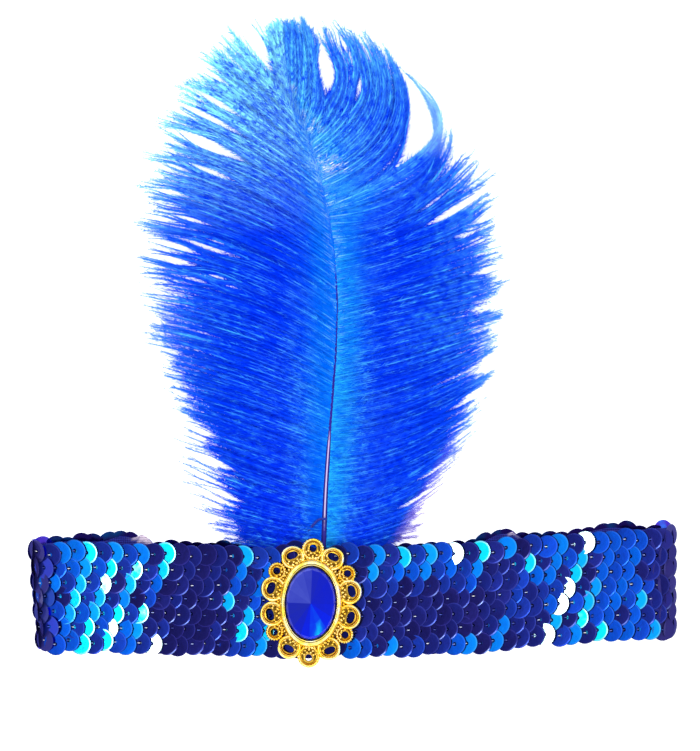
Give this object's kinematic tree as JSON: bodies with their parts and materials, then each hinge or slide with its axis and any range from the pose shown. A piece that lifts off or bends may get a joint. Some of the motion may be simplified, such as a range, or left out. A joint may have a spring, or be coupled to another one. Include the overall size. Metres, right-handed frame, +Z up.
{
  "type": "flapper headband",
  "caption": "Sequin stretch headband lying flat, with an oval gem cameo in pierced gold metal and a tall ostrich plume held behind its front layer.",
  "frame": {"origin": "on the surface that the headband lies on, straight below the middle of the cameo", "axes": "+X along the band to the right as seen from above its front, +Y towards the tip of the plume, +Z up out of the surface, the way the cameo faces"},
  "size_m": [0.2228, 0.2259, 0.0175],
  "materials": {
    "sequin_blue": "metallic blue sequins",
    "elastic_blue": "matt stretch ribbon",
    "gold_metal": "bright gold plate",
    "gem_blue": "polished faceted royal-blue stone with a foiled back",
    "feather_blue": "soft dyed barbs",
    "quill_blue": "satin dyed horn"
  },
  "bodies": {
    "root": {"elastic_band": "elastic_blue", "sequin_cover": "sequin_blue", "cameo_setting": "gold_metal", "gem": "gem_blue", "quill": "quill_blue", "left_vane": "feather_blue", "right_vane": "feather_blue"}
  },
  "joints": []
}
